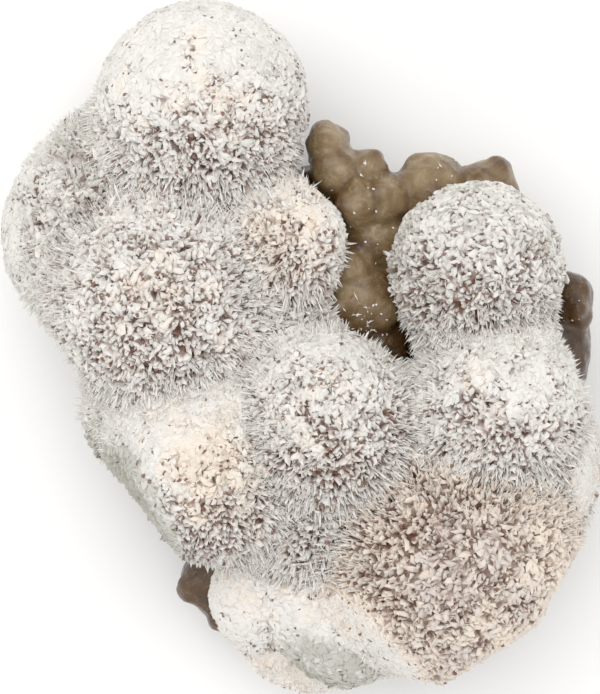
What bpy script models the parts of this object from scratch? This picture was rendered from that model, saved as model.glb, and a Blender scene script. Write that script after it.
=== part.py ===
"""Mordenite on stilbite: white balls of radiating needles grown on a crust of brown stilbite.

The specimen lies on its back, with the balls facing up. The origin is on the surface
that it lies on, under the middle of its box. +Y runs along its length, towards the
largest free ball at the top end, and +X towards the side where the stilbite shows.
"""

from collections import namedtuple
from math import radians

import bmesh
import bpy
from mathutils import Vector

MM = 0.001

# A growth is one round mass of needles: its growth centre, its radius, and how finely
# its round face is divided.
Growth = namedtuple("Growth", "centre radius fineness", defaults=[3])
# A flat is where a ball is broken off: the way it faces, and how far it is from the centre.
Flat = namedtuple("Flat", "facing distance")
# A knob is one rounded stilbite crystal group: its middle and its half sizes.
Knob = namedtuple("Knob", "centre half_size")

# Driving dimensions, in millimetres.
SEAM_GAP = 0.3
SOCKET_GAP = 0.3
LUMP_SIZE = 9.0
LUMP_HEIGHT = 0.7
ROCK_LUMP_SIZE = 7.0
ROCK_LUMP_HEIGHT = 0.8
ROCK_CELL = 1.1
ROCK_FACES = 2200
ROCK_FINE_HEIGHT = 21.0
ROCK_FINE_WEIGHT = 0.5
REST_HEIGHT = 1.2
KNOB_SEGMENTS = 32
KNOB_RINGS = 20
CUTTER_SIDE = 200.0
CUTTER_DEPTH = 40.0
SHARP_ANGLE = radians(40)

# Each ball is its own node. The growths of one ball have run together in one mass.
BALLS = {
    "mordenite_ball_top": [Growth((-16.4, 40.8, 32.0), 17.8)],
    "mordenite_ball_left": [
        Growth((-35.3, 18.8, 24.0), 15.8),
        Growth((-34.4, 28.7, 25.0), 10.3),
    ],
    "mordenite_ball_middle_left": [
        Growth((-23.6, 7.9, 33.0), 17.6),
        Growth((-9.8, -1.9, 26.0), 6.4, 2),
    ],
    "mordenite_ball_small": [
        Growth((-1.5, 17.8, 36.0), 8.9),
        Growth((-7.2, 14.1, 30.0), 6.0, 2),
    ],
    "mordenite_ball_lower_left": [
        Growth((-15.8, -19.7, 30.0), 16.7),
        Growth((-28.6, -11.2, 24.0), 8.2, 2),
    ],
    "mordenite_ball_centre": [
        Growth((4.2, -12.2, 36.0), 14.3),
        Growth((2.7, -27.9, 27.0), 11.3),
        Growth((-2.0, 2.0, 31.0), 6.6, 2),
        Growth((20.6, -17.7, 26.0), 7.0, 2),
    ],
    "mordenite_ball_upper_right": [Growth((29.9, 13.2, 33.0), 14.7)],
    "mordenite_ball_right": [Growth((33.6, -9.9, 35.0), 13.8)],
    "mordenite_ball_lower_right": [Growth((26.6, -36.8, 29.0), 20.6)],
    "mordenite_ball_right_edge": [Growth((40.5, -20.1, 26.0), 11.3)],
    "mordenite_ball_bottom_left": [Growth((-8.0, -44.0, 20.0), 7.2)],
    "mordenite_ball_bottom": [Growth((0.5, -51.6, 17.0), 8.4)],
    "mordenite_ball_bottom_middle": [
        Growth((8.7, -47.7, 21.0), 9.7),
        Growth((1.4, -43.1, 22.0), 7.6, 2),
    ],
}

# The balls at the rim that are broken off flat, each with its broken sides.
BROKEN_SIDES = {
    "mordenite_ball_lower_left": [Flat((-0.84, -0.51, 0.18), 12.0)],
    "mordenite_ball_lower_right": [
        Flat((0.89, -0.44, 0.12), 16.6),
        Flat((0.55, -0.83, 0.10), 15.6),
    ],
    "mordenite_ball_right_edge": [Flat((0.80, -0.10, 0.59), 9.0)],
    "mordenite_ball_bottom": [Flat((0.0, -0.45, 0.89), 3.6)],
}

# The crust under the balls, as the broad masses that it is made of.
CRUST = [
    Knob((3.0, -4.0, 12.5), (32.0, 35.0, 14.5)),
    Knob((-16.0, 38.0, 17.0), (15.0, 15.0, 11.0)),
    Knob((-30.0, 18.0, 16.0), (13.5, 15.0, 10.5)),
    Knob((-15.0, -14.0, 15.0), (14.5, 15.0, 12.0)),
    Knob((-9.5, -37.0, 13.0), (9.5, 10.0, 8.5)),
    Knob((8.0, -45.0, 13.0), (13.0, 9.0, 8.0)),
    Knob((26.0, -33.0, 14.5), (17.0, 16.0, 11.0)),
    Knob((35.0, -8.0, 16.0), (13.0, 18.0, 12.0)),
    Knob((29.0, 13.0, 17.0), (16.5, 15.0, 12.0)),
    Knob((5.0, 14.0, 18.0), (16.0, 18.0, 12.0)),
]

# The rounded stilbite crystal groups that show between the balls and at the rim.
KNOBS = [
    Knob((4.6, 34.4, 26.5), (3.6, 4.0, 6.5)),
    Knob((6.4, 29.8, 27.5), (4.8, 4.6, 6.0)),
    Knob((11.6, 30.4, 27.5), (3.2, 3.4, 5.5)),
    Knob((9.6, 24.2, 29.5), (3.5, 4.8, 6.0)),
    Knob((14.6, 25.0, 28.5), (3.5, 4.5, 6.0)),
    Knob((22.4, 27.0, 26.5), (6.0, 6.2, 6.5)),
    Knob((32.2, 27.2, 25.0), (5.2, 5.2, 6.0)),
    Knob((12.8, 18.6, 26.5), (5.8, 5.0, 6.0)),
    Knob((8.0, 13.6, 29.5), (4.2, 3.8, 5.5)),
    Knob((10.8, 7.8, 27.5), (7.2, 6.2, 7.0)),
    Knob((12.3, 1.0, 24.5), (6.8, 6.0, 6.5)),
    Knob((46.7, 8.1, 22.5), (4.0, 5.0, 7.0)),
    Knob((45.6, 0.2, 20.5), (4.9, 8.0, 7.0)),
    Knob((-17.0, -41.0, 13.5), (4.2, 4.8, 5.0)),
    Knob((-12.2, -47.2, 12.5), (4.2, 3.5, 4.5)),
]

MORDENITE_COLOUR = (0.83, 0.78, 0.73, 1.0)
STILBITE_COLOUR = (0.22, 0.16, 0.10, 1.0)


def clear_scene():
    for obj in list(bpy.data.objects):
        bpy.data.objects.remove(obj, do_unlink=True)


def new_collection(name):
    collection = bpy.data.collections.new(name)
    bpy.context.scene.collection.children.link(collection)
    return collection


def move_to(obj, collection):
    for holder in list(obj.users_collection):
        holder.objects.unlink(obj)
    collection.objects.link(obj)


def make_helper(obj, helpers):
    """A cutter or a guide, which is no part of the object."""
    obj.hide_render = True
    obj.display_type = "WIRE"
    move_to(obj, helpers)


def new_material(name, colour, roughness):
    material = bpy.data.materials.new(name)
    material.use_nodes = True
    shader = material.node_tree.nodes["Principled BSDF"]
    shader.inputs["Base Color"].default_value = colour
    shader.inputs["Roughness"].default_value = roughness
    shader.inputs["Metallic"].default_value = 0.0
    return material


def add_lumps(obj, size, height):
    """Uneven growth: the surface swells in and out by half the height."""
    texture = bpy.data.textures.new(obj.name + "_lumps", "CLOUDS")
    texture.noise_scale = size * MM
    lumps = obj.modifiers.new("lumps", "DISPLACE")
    lumps.texture = texture
    lumps.texture_coords = "GLOBAL"
    lumps.mid_level = 0.5
    lumps.strength = height * MM


def apply_modifiers(obj):
    """Turns the object's mesh into what its modifiers make of it."""
    graph = bpy.context.evaluated_depsgraph_get()
    shaped = bpy.data.meshes.new_from_object(obj.evaluated_get(graph))
    obj.modifiers.clear()
    obj.data = shaped


def new_ball(name, growth, extra=0.0):
    """A whole lumpy ball round a growth centre, larger all over by extra."""
    bpy.ops.mesh.primitive_ico_sphere_add(
        subdivisions=growth.fineness,
        radius=(growth.radius + extra) * MM,
        location=Vector(growth.centre) * MM,
    )
    ball = bpy.context.object
    ball.name = name
    add_lumps(ball, LUMP_SIZE, LUMP_HEIGHT)
    apply_modifiers(ball)
    return ball


def seam_between(growth, other):
    """The plane where two growths have met, as a point and the way out of the first, or None."""
    way = Vector(other.centre) - Vector(growth.centre)
    apart = way.length
    if apart > growth.radius + other.radius + LUMP_HEIGHT:
        return None
    reach = (apart**2 + growth.radius**2 - other.radius**2) / (2 * apart)
    facing = way.normalized()
    return Vector(growth.centre) + facing * (reach - SEAM_GAP / 2), facing


def cut_flat(ball, point, facing):
    """Cuts off what lies beyond the plane and closes the cut. The point is in millimetres."""
    mesh = bmesh.new()
    mesh.from_mesh(ball.data)
    cut = bmesh.ops.bisect_plane(
        mesh,
        geom=mesh.verts[:] + mesh.edges[:] + mesh.faces[:],
        plane_co=point * MM - ball.location,
        plane_no=facing,
        clear_outer=True,
    )
    rim = [item for item in cut["geom_cut"] if isinstance(item, bmesh.types.BMEdge)]
    if rim:
        bmesh.ops.contextual_create(mesh, geom=rim)
        bmesh.ops.recalc_face_normals(mesh, faces=mesh.faces[:])
    mesh.to_mesh(ball.data)
    mesh.free()


def neighbours_of(name):
    return [g for other, growths in BALLS.items() if other != name for g in growths]


def trimmed_growth(name, owner, growth):
    """One growth of a ball, cut at its seams with the other balls and at its broken sides."""
    ball = new_ball(name, growth)
    for other in neighbours_of(owner):
        seam = seam_between(growth, other)
        if seam:
            cut_flat(ball, *seam)
    if growth == BALLS[owner][0]:
        for flat in BROKEN_SIDES.get(owner, []):
            facing = Vector(flat.facing).normalized()
            cut_flat(ball, Vector(growth.centre) + facing * flat.distance, facing)
    ball.data.shade_smooth()
    ball.data.set_sharp_from_angle(angle=SHARP_ANGLE)
    return ball


def build_ball(name, parts, helpers, material):
    """One mordenite ball, with the growths that have run together in it joined in one solid."""
    first, *others = BALLS[name]
    ball = trimmed_growth(name, name, first)
    ball.data.materials.append(material)
    move_to(ball, parts)
    for number, growth in enumerate(others, 1):
        lobe = trimmed_growth(f"{name}_lobe_{number}", name, growth)
        make_helper(lobe, helpers)
        join = ball.modifiers.new("join_lobe", "BOOLEAN")
        join.operation = "UNION"
        join.solver = "EXACT"
        join.object = lobe
    return ball


def new_knob(knob):
    bpy.ops.mesh.primitive_uv_sphere_add(
        segments=KNOB_SEGMENTS,
        ring_count=KNOB_RINGS,
        radius=MM,
        location=Vector(knob.centre) * MM,
    )
    obj = bpy.context.object
    obj.scale = knob.half_size
    bpy.ops.object.transform_apply(location=True, rotation=False, scale=True)
    return obj


def join_objects(objects, name):
    for obj in bpy.context.selected_objects:
        obj.select_set(False)
    for obj in objects:
        obj.select_set(True)
    bpy.context.view_layer.objects.active = objects[0]
    bpy.ops.object.join()
    joined = bpy.context.object
    joined.name = name
    return joined


def new_floor_cutter(helpers):
    """A block whose top face is the plane that the specimen rests on."""
    middle = (REST_HEIGHT - CUTTER_DEPTH / 2) * MM
    bpy.ops.mesh.primitive_cube_add(size=MM, location=(0, 0, middle))
    block = bpy.context.object
    block.name = "rest_plane_cutter"
    block.scale = (CUTTER_SIDE, CUTTER_SIDE, CUTTER_DEPTH)
    bpy.ops.object.transform_apply(location=False, rotation=False, scale=True)
    make_helper(block, helpers)
    return block


def new_socket_cutters(sockets):
    """The balls' own shapes, a little larger, which cut the sockets that they sit in."""
    for name, growths in BALLS.items():
        for number, growth in enumerate(growths, 1):
            cutter = new_ball(f"{name}_socket_{number}", growth, extra=SOCKET_GAP)
            make_helper(cutter, sockets)


def build_matrix(parts, helpers, sockets, material):
    """The stilbite, one solid: its crystal groups have grown into each other."""
    matrix = join_objects([new_knob(knob) for knob in CRUST + KNOBS], "stilbite_matrix")
    matrix.data.materials.clear()
    matrix.data.materials.append(material)
    move_to(matrix, parts)

    skin = matrix.modifiers.new("one_skin", "REMESH")
    skin.mode = "VOXEL"
    skin.voxel_size = ROCK_CELL * MM
    add_lumps(matrix, ROCK_LUMP_SIZE, ROCK_LUMP_HEIGHT)
    apply_modifiers(matrix)
    matrix.data.shade_smooth()

    coarse = matrix.vertex_groups.new(name="coarse")
    for vertex in matrix.data.vertices:
        hidden = vertex.co.z < ROCK_FINE_HEIGHT * MM
        coarse.add([vertex.index], 1.0 if hidden else ROCK_FINE_WEIGHT, "REPLACE")
    fewer = matrix.modifiers.new("fewer_faces", "DECIMATE")
    fewer.vertex_group = coarse.name
    fewer.ratio = ROCK_FACES / (2 * len(matrix.data.polygons))
    rest = matrix.modifiers.new("rest_plane", "BOOLEAN")
    rest.operation = "DIFFERENCE"
    rest.solver = "EXACT"
    rest.object = new_floor_cutter(helpers)
    for cutter in sockets.objects:
        socket = matrix.modifiers.new("socket", "BOOLEAN")
        socket.operation = "DIFFERENCE"
        socket.solver = "EXACT"
        socket.object = cutter
    return matrix


def centre_on_rest_plane(objects, moved):
    """Moves everything so that the origin is on the rest plane, under the middle of the box."""
    bpy.context.view_layer.update()
    graph = bpy.context.evaluated_depsgraph_get()
    corners = []
    for obj in objects:
        evaluated = obj.evaluated_get(graph)
        corners += [evaluated.matrix_world @ vertex.co for vertex in evaluated.data.vertices]
    low = [min(corner[axis] for corner in corners) for axis in range(3)]
    high = [max(corner[axis] for corner in corners) for axis in range(3)]
    shift = Vector(((low[0] + high[0]) / 2, (low[1] + high[1]) / 2, low[2]))
    for obj in moved:
        obj.location -= shift


def main():
    clear_scene()
    parts = new_collection("mordenite_on_stilbite")
    helpers = new_collection("helpers")
    sockets = new_collection("socket_cutters")
    mordenite = new_material("mordenite", MORDENITE_COLOUR, 0.6)
    stilbite = new_material("stilbite", STILBITE_COLOUR, 0.35)
    new_socket_cutters(sockets)
    build_matrix(parts, helpers, sockets, stilbite)
    for name in BALLS:
        build_ball(name, parts, helpers, mordenite)
    everything = list(parts.objects) + list(helpers.objects) + list(sockets.objects)
    centre_on_rest_plane(list(parts.objects), everything)


main()
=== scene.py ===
"""The looks of a mordenite on stilbite specimen: its needle balls, its crust and its stage.

Lengths in this file are millimetres, and MM turns them into the scene's metres. The specimen
lies on its back: +z is up, towards the camera, and +y is the top of the picture.
"""

import math
from typing import NamedTuple

import bmesh
import bpy
import numpy as np
from bpy.props import FloatProperty, FloatVectorProperty, PointerProperty
from mathutils import Matrix, Vector, kdtree, noise
from mathutils.bvhtree import BVHTree


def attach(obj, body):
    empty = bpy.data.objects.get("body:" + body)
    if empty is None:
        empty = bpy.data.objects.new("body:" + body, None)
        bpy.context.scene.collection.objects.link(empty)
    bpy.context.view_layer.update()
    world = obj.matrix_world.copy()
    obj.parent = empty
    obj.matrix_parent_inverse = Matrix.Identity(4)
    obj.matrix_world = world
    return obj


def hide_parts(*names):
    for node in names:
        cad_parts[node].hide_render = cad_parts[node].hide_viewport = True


bl_info = {
    "name": "Mordenite on stilbite",
    "version": (1, 0, 0),
    "blender": (4, 5, 0),
    "location": "3D View > Sidebar > Specimen",
    "description": "Grows needle balls of mordenite on a crust of stilbite",
    "category": "Add Mesh",
}

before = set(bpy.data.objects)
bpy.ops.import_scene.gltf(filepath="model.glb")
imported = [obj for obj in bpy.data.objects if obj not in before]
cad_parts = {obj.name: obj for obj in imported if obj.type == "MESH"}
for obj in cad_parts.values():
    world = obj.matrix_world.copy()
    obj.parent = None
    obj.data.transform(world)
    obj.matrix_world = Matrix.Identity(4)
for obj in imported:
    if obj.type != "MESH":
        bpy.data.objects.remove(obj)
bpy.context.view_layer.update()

MM = 0.001
BODY = "root"
# The names of the needles' own map, and of what is painted on the felt and on the crust.
BAKE_MAP = "OFBake"
FELT_STATE = "felt_state"
CRUST_STATE = "crust_state"

# The solids were moved by this much to stand on the middle of their box.
MODEL_SHIFT = np.array((-0.405, 0.645, -1.2))


class Growth(NamedTuple):
    """One round mass of needles that radiate from its centre."""

    centre: tuple
    radius: float


class Flat(NamedTuple):
    """A side where a ball is broken off: the way it faces, and how far out it is."""

    facing: tuple
    distance: float


class Ball(NamedTuple):
    """A mordenite ball.

    worn is 0 where all its tufts stand and 1 where none does. tint is 0 for grey needles, 0.3
    for white ones, 0.6 for cream ones and 1 for pink ones, and it is apex_tint in the middle
    of the side that faces up. Needles get grey painted shade on its grey side, which is turned
    away from the light, and are worn off and white on the one that smooth_side faces. open_share
    is how loosely its tufts stand, from 0 to 1, and they stand loosest where open_side faces.
    Loose tufts get painted brown shade in their gaps, and open_side mostly points towards -y,
    away from the key light.
    """

    growths: list
    flats: list = []
    worn: float = 0.0
    tint: float = 0.28
    apex_tint: float = 0.35
    grey_shade_side: tuple = (0.0, 0.0, 0.0)
    smooth_side: tuple = (0.0, 0.0, 0.0)
    open_share: float = 0.45
    open_side: tuple = (0.3, -0.9, 0.2)
    open_gain: float = 0.5


BALLS = {
    "mordenite_ball_top": Ball(
        [Growth((-16.4, 40.8, 32.0), 17.8)],
        tint=0.23, apex_tint=0.42, open_share=0.28, open_side=(0.25, -0.95, 0.1), open_gain=0.8,
    ),
    "mordenite_ball_left": Ball(
        [Growth((-35.3, 18.8, 24.0), 15.8), Growth((-34.4, 28.7, 25.0), 10.3)],
        tint=0.18, apex_tint=0.25, open_share=0.42, open_side=(0.8, 0.2, 0.3),
    ),
    "mordenite_ball_middle_left": Ball(
        [Growth((-23.6, 7.9, 33.0), 17.6), Growth((-9.8, -1.9, 26.0), 6.4)],
        tint=0.25, apex_tint=0.42, open_share=0.42, open_side=(0.2, -0.7, 0.6), open_gain=0.4,
    ),
    "mordenite_ball_small": Ball(
        [Growth((-1.5, 17.8, 36.0), 8.9), Growth((-7.2, 14.1, 30.0), 6.0)],
        tint=0.38, apex_tint=0.5, open_share=0.46, open_side=(0.1, -0.9, 0.2),
    ),
    "mordenite_ball_lower_left": Ball(
        [Growth((-15.8, -19.7, 30.0), 16.7), Growth((-28.6, -11.2, 24.0), 8.2)],
        [Flat((-0.84, -0.51, 0.18), 12.0)],
        tint=0.27, apex_tint=0.62, grey_shade_side=(-0.84, -0.51, 0.18),
        open_share=0.46, open_side=(0.3, -0.9, -0.2), open_gain=1.0,
    ),
    "mordenite_ball_centre": Ball(
        [
            Growth((4.2, -12.2, 36.0), 14.3),
            Growth((2.7, -27.9, 27.0), 11.3),
            Growth((-2.0, 2.0, 31.0), 6.6),
            Growth((20.6, -17.7, 26.0), 7.0),
        ],
        tint=0.25, apex_tint=0.35, open_share=0.64, open_side=(0.2, -0.95, 0.0),
    ),
    "mordenite_ball_upper_right": Ball(
        [Growth((29.9, 13.2, 33.0), 14.7)],
        tint=0.17, apex_tint=0.27, open_share=0.66, open_side=(-0.1, -0.95, 0.0),
    ),
    "mordenite_ball_right": Ball(
        [Growth((33.6, -9.9, 35.0), 13.8)],
        tint=0.25, apex_tint=0.42, open_share=0.45, open_side=(-0.1, -0.95, 0.0), open_gain=0.6,
    ),
    "mordenite_ball_lower_right": Ball(
        [Growth((26.6, -36.8, 29.0), 20.6)],
        [Flat((0.89, -0.44, 0.12), 16.6), Flat((0.55, -0.83, 0.10), 15.6)],
        tint=0.70, apex_tint=0.84, smooth_side=(-0.75, -0.66, 0.07),
        open_share=0.60, open_side=(-0.8, 0.4, 0.2), open_gain=0.3,
    ),
    "mordenite_ball_right_edge": Ball(
        [Growth((40.5, -20.1, 26.0), 11.3)], [Flat((0.80, -0.10, 0.59), 9.0)], tint=0.38
    ),
    "mordenite_ball_bottom_left": Ball(
        [Growth((-8.0, -44.0, 20.0), 7.2)],
        worn=0.8, tint=0.36, apex_tint=0.45, grey_shade_side=(0.7, -0.5, 0.3), open_share=0.3,
    ),
    "mordenite_ball_bottom": Ball(
        [Growth((0.5, -51.6, 17.0), 8.4)],
        [Flat((0.0, -0.45, 0.89), 3.6)],
        worn=0.5, tint=0.42, apex_tint=0.7, open_share=0.1,
    ),
    "mordenite_ball_bottom_middle": Ball(
        [Growth((8.7, -47.7, 21.0), 9.7), Growth((1.4, -43.1, 22.0), 7.6)],
        worn=0.8, tint=0.36, apex_tint=0.36, grey_shade_side=(-0.3, -0.8, 0.5), open_share=0.3,
    ),
}

CRUST_NODE = "stilbite_matrix"
CRUST_PIECE = "stilbite_crystals"


class Knob(NamedTuple):
    """A rounded group of stilbite crystals. Its shade is painted shade, from 0 for clear to 1 for
    dark brown.
    """

    centre: tuple
    half_size: tuple
    shade: float = 0.0


# The groups that show at the top right, in the recess, at the right edge and lower left.
KNOBS = [
    Knob((4.6, 34.4, 26.5), (3.6, 4.0, 6.5)),
    Knob((6.4, 29.8, 27.5), (4.8, 4.6, 6.0)),
    Knob((11.6, 30.4, 27.5), (3.2, 3.4, 5.5)),
    Knob((9.6, 24.2, 29.5), (3.5, 4.8, 6.0)),
    Knob((14.6, 25.0, 28.5), (3.5, 4.5, 6.0)),
    Knob((22.4, 27.0, 26.5), (6.0, 6.2, 6.5)),
    Knob((32.2, 27.2, 25.0), (5.2, 5.2, 6.0)),
    Knob((12.8, 18.6, 26.5), (5.8, 5.0, 6.0)),
    Knob((8.0, 13.6, 29.5), (4.2, 3.8, 5.5)),
    # These four groups, two low in the recess and two at the right edge, get painted shade.
    Knob((10.8, 7.8, 27.5), (7.2, 6.2, 7.0), 0.3),
    Knob((12.3, 1.0, 24.5), (6.8, 6.0, 6.5), 0.7),
    Knob((46.7, 8.1, 22.5), (4.0, 5.0, 7.0), 0.7),
    Knob((45.6, 0.2, 20.5), (4.9, 8.0, 7.0), 1.0),
    Knob((-17.0, -41.0, 13.5), (4.2, 4.8, 5.0)),
    Knob((-12.2, -47.2, 12.5), (4.2, 3.5, 4.5)),
]


class Swells(NamedTuple):
    """Smooth noise: how far apart its swells are, its place in the noise, and its height."""

    size: float
    seed: float
    height: float


class Kind(NamedTuple):
    """A kind of long needle, and the ranges that its widths and waists are drawn from.

    widths are shares of the needle width in the settings. A waist is the share of a needle's
    length at which it is widest. The last value is how pale its root is, from 0 to 1: low values
    give it stain and painted shade.
    """

    widths: tuple
    waists: tuple
    root_clean_lit: float

    def draw(self, count, settings, rng):
        width = rng.uniform(*self.widths, count) * settings.needle_width
        return width, rng.uniform(*self.waists, count)


# The kinds: on the edges of tufts, in the seams, over a neighbour and over the recess.
FRINGE = Kind((0.65, 1.1), (0.6, 0.85), 0.1)
SPRAY = Kind((0.75, 1.3), (0.6, 0.9), 0.55)
LONG = Kind((0.75, 1.3), (0.55, 0.85), 0.6)
STRAY = Kind((0.9, 1.4), (0.6, 0.8), 0.6)

# How softly the needles fill the grooves between balls, on the upper side and on the under
# side. The one changes into the other between two heights.
GROOVE_SOFTNESS = 3.0
UNDER_SOFTNESS = 0.4
FILL_FROM = 5.0
FILL_TO = 16.0
# A growth's reach is found in steps, from this share of its radius on. Each step takes up this
# share of what is still missing, and none goes further in than the least reach.
START_SHARE = 0.4
STEPS = 22
STEP_SHARE = 0.6
LEAST_REACH = 0.5
# Where the face is seen very much aslant, it counts as turned no further than this cosine.
LEAST_FACING = 0.3
# An overlap that lets a growth reach as far as it likes into its neighbours.
FREE = 20.0

# Needles stand loose and long this near to a seam.
SEAM_REACH = 6.0
SEAM_LOOSENESS = 0.12
# Near another ball a worn ball keeps its tufts: some from the first nearness on, and all from
# the second.
UNRUBBED = (0.75, 1.25)
# A ball with more wear than this has no long needles, and none grow over it.
HALF_WORN = 0.5
# How much of the tufts is gone on a smooth side, the tint there, and how much a grey side,
# turned away from the light, takes from the tint as grey painted shade. Such a side starts at
# the first cosine to the way that it faces, and is whole from the second on.
SMOOTH_WEAR = 0.85
SMOOTH_TINT = 0.36
SMOOTH_EDGE = (0.78, 0.90)
GREY_SHADING = 0.35
GREY_SHADE_EDGE = (0.5, 0.8)
# The width of the rim where a broken side starts, and the share of a ball that is its apex.
BREAK_EDGE = 0.6
APEX_SHARE = 0.62

# The swells of the balls' faces, of how loosely tufts stand, of their tints and of the felt.
LUMPS = [Swells(5.0, 0.0, 0.6), Swells(2.2, 0.0, 0.3)]
LOOSENESS = [Swells(4.0, 23.0, 0.45), Swells(1.6, 29.0, 0.35)]
TINTS = [Swells(5.0, 17.0, 0.16), Swells(1.5, 19.0, 0.08)]
FELT_LUMPS = [Swells(1.3, 7.0, 0.16)]

# Real mordenite needles are a few hundredths of a millimetre thick. They would take many
# millions of faces, so they are drawn coarser: a tuft stands for a bundle of hundreds of
# needles, and a long needle for a dozen of them.
#
# A tuft has this many sides. Its corners' turns, reach, drop and cleanness are uneven, it is
# longer one way, and it is tilted.
SIDES = 6
CORNER_TURN = 0.2
CORNER_REACH = (0.55, 1.45)
CORNER_DROP = (0.2, 1.8)
CORNER_SHADE = 0.10
TUFT_STRETCH = (1.0, 1.7)
TUFT_SQUEEZE = 0.7
TUFT_TILT = 0.35
# The edges of a long needle are unevenly far from its middle.
EDGE_REACH = (0.6, 1.3)
# Each needle takes this much of the colour map to each side, so that it has some width there,
# and none comes nearer to the map's edge than the margin.
TINT_SPREAD = 0.008
MAP_MARGIN = 0.005

# Tufts are packed in triangles, each moved at random by a share of their spacing. The spare
# ones are a few more, so that the two patterns are not alike, and they fill up the face from
# this stretch on.
TUFT_PACKING = 0.866
TUFT_JITTER = 0.24
SPARE_JITTER = 0.3
MORE_SPARES = 7
SPARE_FROM = 1.05
# Tufts this deep under the joint face, or with the crust this near over them, aren't drawn,
# and fewer are drawn on the under side.
TUFT_BURIED = 0.5
CRUST_NEAR = 1.3
UNDER_SIDE = 9.0
UNDER_THINNING = 0.45
# The share of missing tufts, and tufts' radius as a share of their spacing, their rise over
# the face, the drop of their edges and their lean: each where they are packed and loose.
MISSING = (0.03, 0.20)
TUFT_RADIUS = (0.74, 0.58)
TUFT_RISE = (0.07, 0.26)
TUFT_DROP = (0.22, 0.80)
TUFT_LEAN = (0.04, 0.14)
# How clean and lit tufts are at the root and at the shoulder, packed and loose, and at the top.
# Lower values paint them stained brown and in shade, deepest at the roots and sides of loose
# tufts.
ROOT_CLEAN_LIT = (0.5, 0.0)
SHOULDER_CLEAN_LIT = (0.90, 0.50)
TOP_CLEAN_LIT = 0.93
CLEANEST_LIT = 0.98
TINT_JITTER = 0.05
# Tops have less painted shade the higher they rise, up to a limit, and each one differs a little.
LESS_SHADE_BY_RISE = 0.25
RISE_LIMIT = 0.2
TOP_JITTER = 0.04
LEAST_CLEAN_LIT = 0.1
# The ranges of width, drop and length among neighbours, and how much flatter worn tufts are.
TUFT_SIZES = (0.65, 1.4)
TUFT_DROPS = (0.7, 1.3)
TUFT_LENGTHS = (0.9, 1.2)
FLATTENED = 0.6

# How likely a loose tuft has a needle at its edge, and how deep that needle's root is. Then the
# ranges of how far out on the tuft it stands, how much it leans out and how far over the
# tuft's top it ends.
FRINGE_SHARE = 1.3
FRINGE_DEPTH = 1.6
FRINGE_PLACES = (0.2, 0.95)
FRINGE_LEANS = (0.1, 0.6)
FRINGE_TIPS = (-0.45, 0.35)
# Tufts this near to another ball may have a spray of this many long needles, except where they
# are worn. A spray's needles are turned and moved at random, stand out and go back by these
# ranges, and take most of their tint from a white.
SPRAY_FROM = 0.35
SPRAY_SHARE = 0.8
SPRAY_NEEDLES = 4
SPRAY_WEAR = 0.3
SPRAY_TURN = 0.16
SPRAY_SPREAD = 0.35
SPRAY_TIPS = (-0.3, 1.3)
SPRAY_DEPTHS = (3.0, 5.0)
SPRAY_TINT = 0.35
SPRAY_TINT_SHARE = 0.7
# This share of the imported tufts has a dark brown speck, and so much more of the loose ones. A
# speck is a small low bundle at the tuft's side, coloured with stain and with painted shade that
# stands for the dark pits between tufts.
SPECK_SHARE = 0.02
LOOSE_SPECKS = 0.26
SPECK_RADII = (0.16, 0.40)
SPECK_ASIDE = 0.35
SPECK_DROP = 0.05
SPECK_LENGTH = 1.2
SPECK_ROOT_CLEAN_LIT = 0.02
SPECK_CLEAN_LIT = (0.02, 0.3)
SPECK_TOP_CLEAN_LIT = 0.03

# Long needles to a square millimetre of a growth. They come out near the joint face, from a
# little before the seam on, lean away from the neighbour and at random, and stand out and are
# long by these ranges. They reach this far over a neighbour, and further over some.
LONG_NEEDLES = 3.0
LONG_JITTER = 0.3
LONG_FACE = 0.3
LONG_BEFORE = 0.8
LONG_AWAY = 0.2
LONG_TURN = 0.12
LONG_TIPS = (0.0, 1.1)
LONG_LENGTHS = (3.0, 5.5)
LONG_TINT = 0.34
OVERGROWTH = 2.2
OVERGROWN = {
    ("mordenite_ball_right", "mordenite_ball_upper_right"): 7.0,
    ("mordenite_ball_lower_left", "mordenite_ball_middle_left"): 5.0,
    ("mordenite_ball_centre", "mordenite_ball_middle_left"): 4.0,
    ("mordenite_ball_lower_right", "mordenite_ball_centre"): 4.5,
    ("mordenite_ball_lower_right", "mordenite_ball_right"): 3.5,
    ("mordenite_ball_small", "mordenite_ball_middle_left"): 4.0,
    ("mordenite_ball_top", "mordenite_ball_middle_left"): 3.0,
}

# How deep the felt lies under packed and loose tufts, and where tufts are worn off. It is
# deeper by a hole where a tuft is missing, and the hole slopes between two distances.
FELT_DEPTH = (0.12, 1.3)
WORN_DEPTH = 0.10
HOLE_DEPTH = 0.9
HOLE_SLOPE = (0.125, 0.625)
# How far the felt of one growth goes into the next one's, so that no gap shows.
FELT_OVERLAP = 0.5
# Growths under this radius have a coarser felt. It is finer only above this height.
SMALL_GROWTH = 8.3
SHOWS_ABOVE = 7.0

# A needle is wholly clean, with no stain and no painted shade, from this value on.
CLEAN_LIT_FROM = 0.85
# The felt: the sizes of its grain, how much that varies the tint and the brown of stain and
# painted shade, and where that brown starts and is whole. Pits lie in cells this far apart, have
# soft edges and are this deep, and this share of the cells has one where tufts are packed, and
# so much more where loose. Pits are painted dark, with stain and with the shade in them.
GRAIN_SIZE = 1.1
FINE_GRAIN_SIZE = 0.7
GRAIN_TINT = 0.5
GRAIN_STAIN_SHADE = 0.5
STAIN_SHADE_EDGE = (0.45, 1.25)
PIT_SPACING = 1.25
PIT_EDGE = (0.34, 0.14)
PIT_DEPTH = 0.8
PACKED_PITS = 0.03
LOOSE_PITS = 0.9
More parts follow.
